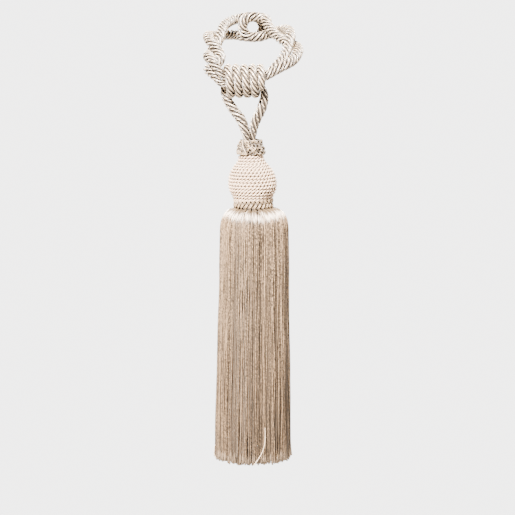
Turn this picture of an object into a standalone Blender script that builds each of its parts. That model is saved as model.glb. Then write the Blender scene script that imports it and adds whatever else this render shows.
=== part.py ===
"""Curtain tieback tassel: two doubled embrace ropes, a wound knot, and a tassel hanging from it.

The frame has +X to the right, +Y towards the wall and +Z up. The origin is the seat of the wall
hook: the middle of the eye that the two rope bights form, at the plane of the wall. Sizes are in
millimetres and the meshes are scaled to metres as they are made.
"""
import math
import random
from typing import NamedTuple

import bmesh
import bpy
from mathutils import Matrix, Vector

MM = 0.001

# Rope
ROPE_SIDES = 12             # section points: a crest and a valley for each of six raised strands
VALLEY = 0.86               # valley radius as a share of the crest radius
LAY = 46.0                  # length of one turn of the rope's strands
ROPE_STEP = 4.2             # spacing of the sections along a rope
SMOOTHING = 8               # places read from the curve between two stops of a route
BIGHT_STEPS = 12            # steps round the half turn of a bight
NECK_STEPS = 6              # steps round the hanging rope's half turn inside the ruff

# Wound knot, a helix about an axis along X
KNOT_Y = -125.0
KNOT_Z = -48.0
KNOT_TURNS = 5
KNOT_RADIUS = 11.6          # axis to rope centre
KNOT_FIRST_TOP = -22.2      # X of the first turn's highest point
KNOT_PITCH = 7.36
KNOT_FRONT_SHARE = 0.40     # share of the pitch gained down the front, the rest up the back
KNOT_ROPE_RADIUS = 4.0
KNOT_PRESS = 0.85           # the turns are pressed narrower along the axis
KNOT_STEP = 4.7
KNOT_START = -100.0         # degrees from the top, over the front, where the left leg joins
KNOT_TUCK = 60.0            # degrees past the last top where the tail begins to narrow
KNOT_END = 130.0            # degrees past the last top where the tail ends
TAIL_BACK = 0.8             # how far the tail's end draws back along the axis
TAIL_IN = 0.9               # and towards the axis
TAIL_TAPER = 0.4            # and the share by which it narrows

# Tassel, turned about a vertical axis
TASSEL_Y = -125.0
NECK_X = -1.9               # the tassel hangs a little crooked, so each piece has its own X
HEAD_X = 0.3
COLLAR_X = 0.8
SKIRT_X = 2.0
FRINGE_LEAN = -1.8          # how far the ends of the fringe lie from the shoulder along X
HEAD_TOP = -115.6
HEAD_BASE = -155.0
HEAD_ROWS = 13
ROW_RISE = 0.9              # how far a row of wound cord stands out
HEAD_STEPS = 26
RUFF_BORE = 8.75
RUFF_LOOP = 0.9             # how far a loop of the ruff stands out
RUFF_SIDES = 28             # a loop and a hollow in turn
COLLAR_BORE = 16.4
COLLAR_TOP = -155.4
COLLAR_BASE = -163.6
COLLAR_CORE = 15.5
COLLAR_PLAITS = 15
COLLAR_RISE = 0.55          # how far a plait stands out
SKIRT_TOP = -164.0
SKIRT_RIM = -184.0
SKIRT_RIDGE = 0.3           # how far a thread stands out of the shoulder


class Stop(NamedTuple):
    """A place on a pair of ropes: the pair's centre, its turn and spread, and the rope's radius."""
    x: float
    y: float
    z: float
    turn: float
    spread: float
    radius: float


class Place(NamedTuple):
    """A place on one rope: its centre, its radius, and how far it is pressed along X."""
    x: float
    y: float
    z: float
    radius: float
    press: float


class Ring(NamedTuple):
    """A level of a turned shape."""
    radius: float
    z: float


class FringeRow(NamedTuple):
    """A ring of fringe threads: how many, their ring's radius as they fall, and their length."""
    count: int
    root: float
    upper: float
    lower: float
    low: float
    length: float


LEFT_PAIR = (
    Stop(-8.4, -125.0, -48.0, 0, 3.45, 3.15),
    Stop(-21.0, -125.0, -48.0, 0, 3.45, 3.2),
    Stop(-27.2, -125.0, -47.0, -8, 3.45, 3.2),
    Stop(-31.6, -123.2, -42.0, -12, 4.1, 3.85),
    Stop(-36.3, -118.4, -36.6, -4, 5.0, 4.7),
    Stop(-39.8, -109.5, -31.9, 0, 5.3, 5.0),
    Stop(-35.0, -95.5, -27.6, -85, 5.35, 5.0),
    Stop(-38.6, -80.0, -20.3, -165, 5.3, 5.0),
    Stop(-38.0, -61.0, -12.3, -225, 5.3, 5.0),
    Stop(-31.6, -35.0, -4.4, -315, 5.3, 5.0),
    Stop(-20.0, -13.5, -0.6, -357, 6.8, 5.0),
    Stop(-9.0, -8.6, 0.0, -360, 9.0, 5.0),
    Stop(0.0, -8.2, 0.0, -360, 9.8, 5.0),
)
RIGHT_PAIR = (
    Stop(-7.9, -125.0, -46.4, 90, 3.2, 3.0),
    Stop(7.0, -125.0, -46.4, 90, 3.25, 3.0),
    Stop(14.2, -124.0, -42.6, 84, 4.2, 3.9),
    Stop(23.6, -119.0, -35.6, 84, 5.1, 4.8),
    Stop(32.2, -108.0, -29.0, 98, 5.2, 5.0),
    Stop(37.0, -93.0, -21.0, 110, 5.2, 5.0),
    Stop(37.6, -76.0, -13.2, 148, 5.2, 5.0),
    Stop(29.6, -54.0, -6.5, 218, 5.25, 5.0),
    Stop(20.0, -33.0, -1.8, 290, 5.4, 5.0),
    Stop(14.0, -22.0, 0.0, 345, 7.2, 5.0),
    Stop(7.0, -19.5, 0.0, 360, 9.2, 5.0),
    Stop(0.0, -19.4, 0.0, 360, 9.8, 5.0),
)
RIGHT_LEG = (
    Place(-7.9, -125.0, -51.95, 2.9, 1.0),
    Place(5.5, -125.0, -51.95, 2.9, 1.0),
    Place(9.6, -124.8, -55.2, 3.1, 1.0),
    Place(10.9, -124.4, -61.0, 3.9, 1.0),
    Place(10.2, -124.0, -67.0, 4.5, 1.0),
    Place(7.8, -123.4, -74.5, 4.8, 1.0),
    Place(4.0, -122.2, -82.0, 4.8, 1.0),
    Place(1.2, -121.4, -90.0, 4.4, 1.0),
    Place(-0.3, -121.6, -99.5, 3.8, 1.0),
    Place(-0.5, -121.9, -106.5, 3.6, 1.0),
)
LEFT_LEG = (
    Place(-5.1, -128.1, -106.5, 3.6, 1.0),
    Place(-5.4, -128.4, -99.5, 3.8, 1.0),
    Place(-7.6, -128.4, -90.0, 4.6, 1.0),
    Place(-11.2, -126.8, -81.8, 4.9, 1.0),
    Place(-17.0, -123.2, -74.6, 4.8, 1.0),
    Place(-22.6, -117.8, -66.0, 4.6, 1.0),
    Place(-25.4, -113.9, -58.5, 4.3, 0.95),
)
HEAD_PROFILE = (
    Ring(11.2, -115.6), Ring(11.9, -118.5), Ring(13.5, -121.8), Ring(16.3, -125.4),
    Ring(19.0, -128.8), Ring(21.0, -132.5), Ring(22.0, -138.5), Ring(22.1, -143.2),
    Ring(21.4, -147.4), Ring(19.4, -151.5), Ring(18.0, -155.0),
)
RUFF_PROFILE = (
    Ring(10.0, -100.9), Ring(10.6, -103.6), Ring(10.4, -106.6), Ring(11.8, -109.2),
    Ring(11.8, -112.4), Ring(10.8, -115.2),
)
COLLAR_PROFILE = (
    Ring(17.6, COLLAR_TOP), Ring(18.1, -157.4), Ring(17.8, -159.5), Ring(18.2, -161.6),
    Ring(17.8, COLLAR_BASE),
)
SKIRT_PROFILE = (
    Ring(17.6, SKIRT_TOP), Ring(22.6, -165.2), Ring(26.6, -168.2), Ring(29.2, -173.0),
    Ring(30.5, -178.6), Ring(31.0, SKIRT_RIM),
)
FRINGE = (
    FringeRow(60, 28.4, 30.1, 31.2, 34.4, 213.0),
    FringeRow(34, 24.4, 25.4, 26.8, 29.6, 216.0),
    FringeRow(18, 19.8, 20.4, 21.2, 23.4, 218.0),
    FringeRow(8, 13.4, 13.6, 14.2, 15.6, 219.0),
)
FRINGE_DROPS = (0.0, 0.025, 0.45, 1.0)  # shares of a thread's length where it has a section
FRINGE_FILL = 0.84          # a thread's width as a share of its place on the ring
FRINGE_DEPTH = 2.1
FRINGE_WANDER = 0.2
FRINGE_UNEVEN = 4.0
FRINGE_SEAT = 2.5           # how far a thread's root reaches up into the shoulder


def catmull(rows: list, per_span: int) -> list:
    """Return rows read from a smooth curve through the given rows."""
    padded = [rows[0], *rows, rows[-1]]
    out = []
    for a, b, c, d in zip(padded, padded[1:], padded[2:], padded[3:]):
        for step in range(per_span):
            t = step / per_span
            wa = -0.5 * t + t * t - 0.5 * t ** 3
            wb = 1.0 - 2.5 * t * t + 1.5 * t ** 3
            wc = 0.5 * t + 2.0 * t * t - 1.5 * t ** 3
            wd = -0.5 * t * t + 0.5 * t ** 3
            values = [wa * p + wb * q + wc * r + wd * s for p, q, r, s in zip(a, b, c, d)]
            out.append(type(b)(*values))
    out.append(rows[-1])
    return out


def evenly(places: list, step: float) -> list:
    """Return places about one step apart along the line through the given places."""
    reach = [0.0]
    for a, b in zip(places, places[1:]):
        reach.append(reach[-1] + math.dist(a[:3], b[:3]))
    count = max(2, round(reach[-1] / step))
    out = []
    span = 0
    for index in range(count + 1):
        goal = reach[-1] * index / count
        while span < len(places) - 2 and reach[span + 1] < goal:
            span += 1
        share = (goal - reach[span]) / max(reach[span + 1] - reach[span], 1e-9)
        values = [p + (q - p) * share for p, q in zip(places[span], places[span + 1])]
        out.append(Place(*values))
    return out


def skin(name: str, rings: list, closed: bool = False) -> bpy.types.Object:
    """Make a solid from rings of points in millimetres, capped at its ends or closed on itself."""
    mesh = bpy.data.meshes.new(name)
    solid = bmesh.new()
    loops = [[solid.verts.new(Vector(point) * MM) for point in ring] for ring in rings]
    pairs = list(zip(loops, loops[1:]))
    if closed:
        pairs.append((loops[-1], loops[0]))
    else:
        solid.faces.new(loops[0])
        solid.faces.new(loops[-1])
    for low, high in pairs:
        for k in range(len(low)):
            after = (k + 1) % len(low)
            solid.faces.new((low[k], low[after], high[after], high[k]))
    bmesh.ops.recalc_face_normals(solid, faces=solid.faces)
    solid.to_mesh(mesh)
    solid.free()
    part = bpy.data.objects.new(name, mesh)
    mesh.shade_smooth()
    mesh.set_sharp_from_angle(angle=math.radians(50))
    return part


def rope_rings(places: list) -> list:
    """Return a rope's sections: raised strands that wind once in each LAY along the places."""
    centres = [Vector(place[:3]) for place in places]
    tangents = []
    for index in range(len(centres)):
        before = centres[max(index - 1, 0)]
        after = centres[min(index + 1, len(centres) - 1)]
        tangents.append((after - before).normalized())
    across = tangents[0].orthogonal().normalized()
    travelled = 0.0
    rings = []
    for index, place in enumerate(places):
        if index:
            turn = tangents[index - 1].rotation_difference(tangents[index])
            across = (turn @ across).normalized()
            travelled += (centres[index] - centres[index - 1]).length
        side = tangents[index].cross(across)
        ring = []
        for k in range(ROPE_SIDES):
            angle = math.tau * (k / ROPE_SIDES - travelled / LAY)
            reach = place.radius * (VALLEY if k % 2 else 1.0)
            offset = (across * math.cos(angle) + side * math.sin(angle)) * reach
            offset.x *= place.press
            ring.append(centres[index] + offset)
        rings.append(ring)
    return rings


def pair_offset(stops: list, index: int) -> Vector:
    """Return the unit vector from a pair's centre to its first rope, and the pair's direction."""
    before = Vector(stops[max(index - 1, 0)][:3])
    after = Vector(stops[min(index + 1, len(stops) - 1)][:3])
    along = (after - before).normalized()
    up = (Vector((0, 0, 1)) - along * along.z).normalized()
    right = along.cross(up)
    turn = math.radians(stops[index].turn)
    return up * math.cos(turn) + right * math.sin(turn), along


def doubled_rope(name: str, stops: tuple) -> bpy.types.Object:
    """Lay a rope double along its stops: out, round the bight at the last stop, and back."""
    dense = catmull(list(stops), SMOOTHING)
    out = []
    back = []
    for index, stop in enumerate(dense):
        offset, along = pair_offset(dense, index)
        centre = Vector(stop[:3])
        out.append(Place(*(centre + offset * stop.spread), stop.radius, 1.0))
        back.append(Place(*(centre - offset * stop.spread), stop.radius, 1.0))
    bight = []
    for step in range(1, BIGHT_STEPS):
        angle = math.pi * step / BIGHT_STEPS
        reach = offset * math.cos(angle) + along * math.sin(angle)
        bight.append(Place(*(centre + reach * stop.spread), stop.radius, 1.0))
    return skin(name, rope_rings(evenly(out + bight + back[::-1], ROPE_STEP)))


def knot_places() -> list:
    """Return the winding of the knot: over the front from the left leg to the tucked tail."""
    out = []
    last_top = 360.0 * (KNOT_TURNS - 1)
    angle = KNOT_START
    while angle <= last_top + KNOT_END:
        turn, part = divmod(angle, 360.0)
        front = min(part, 180.0) / 180.0 * KNOT_FRONT_SHARE
        rear = max(part - 180.0, 0.0) / 180.0 * (1.0 - KNOT_FRONT_SHARE)
        tuck = max(0.0, (angle - last_top - KNOT_TUCK) / (KNOT_END - KNOT_TUCK))
        x = KNOT_FIRST_TOP + KNOT_PITCH * (turn + front + rear) - TAIL_BACK * tuck
        reach = KNOT_RADIUS - TAIL_IN * tuck
        way = math.radians(angle)
        radius = KNOT_ROPE_RADIUS * (1.0 - TAIL_TAPER * tuck ** 2)
        y = KNOT_Y - reach * math.sin(way)
        z = KNOT_Z + reach * math.cos(way)
        out.append(Place(x, y, z, radius, KNOT_PRESS))
        angle += 10.0
    return out


def hanging_rope() -> bpy.types.Object:
    """One rope: the right leg from inside the knot, the bend in the tassel, the left leg, the knot."""
    right = catmull(list(RIGHT_LEG), SMOOTHING)
    low = RIGHT_LEG[-1]
    high = LEFT_LEG[0]
    centre = (Vector(low[:3]) + Vector(high[:3])) / 2
    arm = Vector(low[:3]) - centre
    bend = []
    for step in range(1, NECK_STEPS):
        angle = math.pi * step / NECK_STEPS
        point = centre + arm * math.cos(angle) + Vector((0, 0, -arm.length)) * math.sin(angle)
        bend.append(Place(*point, low.radius, 1.0))
    knot = knot_places()
    left = catmull([*LEFT_LEG, knot[0]], SMOOTHING)
    legs = evenly(right, ROPE_STEP) + bend + evenly(left, ROPE_STEP)
    return skin("hanging_rope", rope_rings(legs + evenly(knot, KNOT_STEP)[1:]))


def ruff() -> bpy.types.Object:
    """A ring of looped gimp: loops stand out all round, shifted half a loop at each level."""
    rings = []
    for level, ring in enumerate(RUFF_PROFILE):
        points = []
        for k in range(RUFF_SIDES):
            angle = math.tau * k / RUFF_SIDES
            loop = RUFF_LOOP if (k + level) % 2 else -RUFF_LOOP / 2
            reach = ring.radius + loop
            points.append((NECK_X + reach * math.cos(angle), TASSEL_Y + reach * math.sin(angle), ring.z))
        rings.append(points)
    for z in (RUFF_PROFILE[-1].z, RUFF_PROFILE[0].z):
        points = []
        for k in range(RUFF_SIDES):
            angle = math.tau * k / RUFF_SIDES
            points.append((NECK_X + RUFF_BORE * math.cos(angle), TASSEL_Y + RUFF_BORE * math.sin(angle), z))
        rings.append(points)
    return skin("ruff", rings, closed=True)


def profile_radius(profile: tuple, z: float) -> float:
    """Return the radius of a turned profile at a height, straight between its levels."""
    for above, below in zip(profile, profile[1:]):
        if above.z >= z >= below.z:
            share = (above.z - z) / (above.z - below.z)
            return above.radius + (below.radius - above.radius) * share
    return profile[-1].radius


def head() -> bpy.types.Object:
    """The turned head with its rows of wound cord standing out, and a spigot inside the collar."""
    outline = [(0.0, HEAD_TOP)]
    rise = (HEAD_TOP - HEAD_BASE) / HEAD_ROWS
    for row in range(HEAD_ROWS):
        top = HEAD_TOP - rise * row
        outline.append((profile_radius(HEAD_PROFILE, top) - ROW_RISE, top))
        outline.append((profile_radius(HEAD_PROFILE, top - rise / 2), top - rise / 2))
    outline.append((profile_radius(HEAD_PROFILE, HEAD_BASE) - ROW_RISE, HEAD_BASE))
    outline.append((COLLAR_CORE, HEAD_BASE))
    outline.append((COLLAR_CORE, COLLAR_BASE))
    outline.append((0.0, COLLAR_BASE))
    mesh = bpy.data.meshes.new("head")
    verts = [(radius * MM, 0.0, z * MM) for radius, z in outline]
    mesh.from_pydata(verts, [(k, k + 1) for k in range(len(verts) - 1)], [])
    part = bpy.data.objects.new("head", mesh)
    part.location = (HEAD_X * MM, TASSEL_Y * MM, 0.0)
    screw = part.modifiers.new("turned", 'SCREW')
    screw.steps = HEAD_STEPS
    screw.render_steps = HEAD_STEPS
    screw.use_merge_vertices = True
    screw.merge_threshold = 0.00001
    screw.use_normal_calculate = True
    return part


def collar() -> bpy.types.Object:
    """A plaited gimp braid: its two edges and its middle rise in turn round the ring."""
    sides = COLLAR_PLAITS * 3
    rings = []
    for level, ring in enumerate(COLLAR_PROFILE):
        points = []
        for k in range(sides):
            angle = math.tau * k / sides
            reach = ring.radius + COLLAR_RISE * math.cos(math.tau * (k + level % 4) / 3)
            points.append((COLLAR_X + reach * math.cos(angle), TASSEL_Y + reach * math.sin(angle), ring.z))
        rings.append(points)
    for z in (COLLAR_BASE, COLLAR_TOP):
        points = []
        for k in range(sides):
            angle = math.tau * k / sides
            points.append((COLLAR_X + COLLAR_BORE * math.cos(angle),
                           TASSEL_Y + COLLAR_BORE * math.sin(angle), z))
        rings.append(points)
    return skin("collar", rings, closed=True)


def thread(row: FringeRow, index: int, shift: float, chance: random.Random) -> list:
    """Return the sections of one four-sided fringe thread, root first."""
    angle = math.tau * (index + shift) / row.count
    length = row.length + chance.uniform(-FRINGE_UNEVEN, FRINGE_UNEVEN)
    sway = chance.uniform(-FRINGE_WANDER, FRINGE_WANDER)
    outward = Vector((math.cos(angle), math.sin(angle), 0))
    around = Vector((-outward.y, outward.x, 0))
    depth = FRINGE_DEPTH / 2
    rings = []
    for drop, reach in zip(FRINGE_DROPS, (row.root, row.upper, row.lower, row.low)):
        z = SKIRT_RIM + FRINGE_SEAT - length * drop
        outer = math.pi * (reach + depth) / row.count * FRINGE_FILL
        inner = math.pi * (reach - depth) / row.count * FRINGE_FILL
        middle = Vector((SKIRT_X + FRINGE_LEAN * drop, TASSEL_Y, z))
        middle += outward * reach + around * sway * drop
        corners = ((depth, -outer), (depth, outer), (-depth, inner), (-depth, -inner))
        rings.append([middle + outward * a + around * b for a, b in corners])
    return rings


def join_meshes(name: str, parts: list) -> bpy.types.Object:
    """Join parts into one object of separate bodies."""
    joined = bmesh.new()
    for part in parts:
        joined.from_mesh(part.data)
        bpy.data.objects.remove(part)
    mesh = bpy.data.meshes.new(name)
    joined.to_mesh(mesh)
    joined.free()
    return bpy.data.objects.new(name, mesh)


def skirt(guides: bpy.types.Collection) -> bpy.types.Object:
    """The fringe: a ridged shoulder with threads hanging from its underside."""
    sides = FRINGE[0].count * 2
    rings = []
    for level, ring in enumerate(SKIRT_PROFILE):
        points = []
        ridge = SKIRT_RIDGE * level / (len(SKIRT_PROFILE) - 1)
        for k in range(sides):
            angle = math.tau * k / sides
            reach = ring.radius - (ridge * 2 if k % 2 else 0.0)
            points.append((SKIRT_X + reach * math.cos(angle), TASSEL_Y + reach * math.sin(angle), ring.z))
        rings.append(points)
    part = skin("skirt", rings)
    chance = random.Random(7)
    threads = []
    for number, row in enumerate(FRINGE):
        for index in range(row.count):
            threads.append(skin("thread", thread(row, index, 0.5 * (number % 2), chance)))
    fringe = join_meshes("fringe_threads", threads)
    fringe.hide_render = True
    fringe.display_type = 'WIRE'
    guides.objects.link(fringe)
    union = part.modifiers.new("rooted", 'BOOLEAN')
    union.operation = 'UNION'
    union.solver = 'EXACT'
    union.object = fringe
    return part


def finish(part: bpy.types.Object, colour: tuple, roughness: float) -> None:
    """Give a part its own material."""
    material = bpy.data.materials.new(part.name)
    material.use_nodes = True
    shader = material.node_tree.nodes["Principled BSDF"]
    shader.inputs["Base Color"].default_value = (*colour, 1.0)
    shader.inputs["Roughness"].default_value = roughness
    shader.inputs["Metallic"].default_value = 0.0
    material.diffuse_color = (*colour, 1.0)
    part.data.materials.append(material)


def main() -> None:
    """Build the tieback."""
    for old in list(bpy.data.objects):
        bpy.data.objects.remove(old)
    parts = bpy.data.collections.new("curtain_tieback_tassel")
    guides = bpy.data.collections.new("guides")
    for collection in (parts, guides):
        bpy.context.scene.collection.children.link(collection)
    ivory = (0.78, 0.71, 0.60)
    beige = (0.62, 0.54, 0.43)
    finishes = (
        (doubled_rope("embrace_left", LEFT_PAIR), ivory, 0.45),
        (doubled_rope("embrace_right", RIGHT_PAIR), ivory, 0.45),
        (hanging_rope(), ivory, 0.45),
        (ruff(), ivory, 0.6),
        (head(), ivory, 0.5),
        (collar(), ivory, 0.55),
        (skirt(guides), beige, 0.4),
    )
    for part, colour, roughness in finishes:
        finish(part, colour, roughness)
        parts.objects.link(part)


main()
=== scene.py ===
"""Looks of a curtain tieback: laid rope, a wound knot, a cord-wound tassel head and a cut fringe.

Sizes are in millimetres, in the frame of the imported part, and become metres as a mesh is made.
"""
import logging
import math
from dataclasses import dataclass, field
from enum import Enum

import bpy
import numpy as np
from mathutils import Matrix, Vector


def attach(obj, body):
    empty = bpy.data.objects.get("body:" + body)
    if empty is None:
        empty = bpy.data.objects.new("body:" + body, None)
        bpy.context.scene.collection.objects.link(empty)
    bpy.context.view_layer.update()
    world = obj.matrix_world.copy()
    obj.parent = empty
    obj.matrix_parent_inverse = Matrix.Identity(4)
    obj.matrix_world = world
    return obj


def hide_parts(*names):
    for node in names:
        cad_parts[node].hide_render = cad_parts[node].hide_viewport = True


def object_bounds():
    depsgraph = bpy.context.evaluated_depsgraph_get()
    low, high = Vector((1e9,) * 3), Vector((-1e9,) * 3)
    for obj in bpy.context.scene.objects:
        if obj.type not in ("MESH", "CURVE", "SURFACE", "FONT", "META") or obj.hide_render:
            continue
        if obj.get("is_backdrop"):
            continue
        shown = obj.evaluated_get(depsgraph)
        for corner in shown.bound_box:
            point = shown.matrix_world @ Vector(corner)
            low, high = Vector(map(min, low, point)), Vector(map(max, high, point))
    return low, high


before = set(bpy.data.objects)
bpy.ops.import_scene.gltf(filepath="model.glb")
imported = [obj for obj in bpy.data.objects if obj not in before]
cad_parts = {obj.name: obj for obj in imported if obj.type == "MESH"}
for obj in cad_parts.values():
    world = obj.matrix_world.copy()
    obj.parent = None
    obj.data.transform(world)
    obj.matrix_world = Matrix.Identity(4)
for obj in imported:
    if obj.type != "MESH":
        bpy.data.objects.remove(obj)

MM = 0.001
TAU = math.tau
ROOT_BODY = "root"
SPAN_STEPS = 8
RADIUS, PRESS, PITCH = 3, 4, 5  # columns of a rope's route, after x, y and z
LOG = logging.getLogger("tieback")

Array = np.ndarray
Chance = np.random.Generator
Piece = bpy.types.Object
Pair = tuple[float, float]
Colour = tuple[float, float, float]
Place = tuple[float, float, float]
Stops = tuple[tuple[float, ...], ...]
Node = bpy.types.Node
Socket = bpy.types.NodeSocket


class Lay(Enum):
    """The way a rope or cord is twisted, as the sign of its turn along its length."""

    S = -1.0
    Z = 1.0


class Hang(Enum):
    """How a rope lies."""

    LOOSE = "loose"
    TAUT = "taut"


class Part(Enum):
    """The finishes that a piece of trimming can carry, as material indices on its mesh."""

    FIRST = 0
    SECOND = 1
    # CORE, and SECOND on the ruff, head and collar, carry a dark ground that stands for shade: painted shade.
    CORE = 2


# ---- lines ----


def unit(vectors: Array) -> Array:
    """Return the vectors scaled to length one."""
    return vectors / np.maximum(np.linalg.norm(vectors, axis=-1, keepdims=True), 1e-12)


def smooth_rows(rows: Array | Stops, per_span: int = SPAN_STEPS) -> Array:
    """Read rows from a smooth curve through the given rows.

    Args:
        rows: One row for each stop of a route, with any columns.
        per_span: How many rows to read between two stops.

    Returns:
        The denser rows, the last stop included.
    """
    rows = np.array(rows)
    padded = np.vstack([rows[:1], rows, rows[-1:]])
    out = []
    for a, b, c, d in zip(padded, padded[1:], padded[2:], padded[3:]):
        for step in range(per_span):
            t = step / per_span
            wa = -0.5 * t + t * t - 0.5 * t**3
            wb = 1.0 - 2.5 * t * t + 1.5 * t**3
            wc = 0.5 * t + 2.0 * t * t - 1.5 * t**3
            wd = -0.5 * t * t + 0.5 * t**3
            out.append(wa * a + wb * b + wc * c + wd * d)
    out.append(rows[-1])
    return np.array(out)


def reach_along(points: Array) -> Array:
    """Return the distance from the first point to each point along the line."""
    steps = np.linalg.norm(np.diff(points[:, :3], axis=0), axis=1)
    return np.concatenate([[0.0], np.cumsum(steps)])


def evenly(rows: Array, step: float) -> Array:
    """Read rows at about equal steps along the line of their first three columns.

    Args:
        rows: Rows of x, y, z and any further columns.
        step: The wanted distance between two rows.

    Returns:
        The evenly spaced rows, both ends included.
    """
    reach = reach_along(rows)
    count = max(2, round(reach[-1] / step)) + 1
    goals = np.linspace(0.0, reach[-1], count)
    return np.stack([np.interp(goals, reach, column) for column in rows.T], axis=1)


def half_circle(steps: int) -> Array:
    """Return the angles between the two ends of a half circle, as a column."""
    return np.linspace(0.0, math.pi, steps + 1)[1:-1, None]


def directions(lines: Array) -> Array:
    """Return the unit tangents of lines given as an array of line, point and coordinate."""
    return unit(np.gradient(lines, axis=1))


def carried_across(lines: Array) -> Array:
    """Carry a crosswise direction along each line without twisting it.

    Args:
        lines: Array of line, point and coordinate.

    Returns:
        A unit vector across the line for each point of each line.
    """
    along = directions(lines)
    current = np.where(np.abs(along[:, 0, 2:3]) < 0.9, [[0.0, 0.0, 1.0]], [[1.0, 0.0, 0.0]])
    out = np.empty_like(lines)
    for index in range(lines.shape[1]):
        tangent = along[:, index]
        current = unit(current - np.sum(current * tangent, axis=1, keepdims=True) * tangent)
        out[:, index] = current
    return out


def wound_round(lines: Array, offsets: Array, turns: Array, press: Array | float = 1.0) -> Array:
    """Wind a line round each given line.

    Args:
        lines: Array of line, point and coordinate.
        offsets: Distance from each point to the wound line.
        turns: Angle of the wound line at each point, in radians.
        press: Scale along X of the distance from the line, for a rope that is pressed flat.

    Returns:
        The wound lines, in the shape of the given lines.
    """
    across = carried_across(lines)
    side = np.cross(directions(lines), across)
    away = across * np.cos(turns)[..., None] + side * np.sin(turns)[..., None]
    away = away * offsets[..., None]
    away[..., 0] *= press
    return lines + away


def read_at(stops: Stops, height: Array | float) -> Array:
    """Return the first value of stops of a value and a height, read at some heights."""
    rows = np.array(stops)
    return np.interp(-height, -rows[:, 1], rows[:, 0])


# ---- meshes ----


def shown(name: str, data: bpy.types.ID) -> Piece:
    """Make an object and link it to the scene.

    Args:
        name: Its name.
        data: Its mesh, light or camera.

    Returns:
        The object.
    """
    made = bpy.data.objects.new(name, data)
    bpy.context.scene.collection.objects.link(made)
    return made


@dataclass(frozen=True)
class ShadeBed:
    """The ground under some threads: points on its axis, and the two distances from them.

    A thread's surface takes full painted crease shade where it is as near to the axis as the lower
    distance, and none where it is as far as the upper one.
    """

    axis: Array
    lower: Array | float
    upper: Array | float

    def lift(self, points: Array) -> Array:
        """Return how far each point of some sections stands clear of the painted crease shade, from 0 to 1.

        Args:
            points: Array of thread, point, corner and coordinate.

        Returns:
            One number for each point, in the order of the array.
        """
        away = np.linalg.norm(points - self.axis[:, :, None], axis=-1)
        lower, upper = np.asarray(self.lower)[..., None], np.asarray(self.upper)[..., None]
        return np.clip((away - lower) / (upper - lower), 0.0, 1.0)


def upright_axis(lines: Array, centre: Pair) -> Array:
    """Return the points on an upright axis that are level with the points of some lines."""
    level = lines[..., 2]
    return np.stack([np.full_like(level, centre[0]), np.full_like(level, centre[1]), level], axis=-1)


def walls(first: Array, lower: Array, upper: Array, sides: int) -> Array:
    """Join the rings of some tubes with faces.

    Args:
        first: The index of each tube's first corner.
        lower: The ring at one edge of each row of faces.
        upper: The ring at its other edge.
        sides: Corners of a ring.

    Returns:
        Array of tube, row and side, with the four corners of each face.
    """
    here = np.arange(sides)
    after = (here + 1) % sides
    low = first[:, None, None] + lower[:, None] * sides
    high = first[:, None, None] + upper[:, None] * sides
    return np.stack([low + here, low + after, high + after, high + here], axis=-1)


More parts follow.
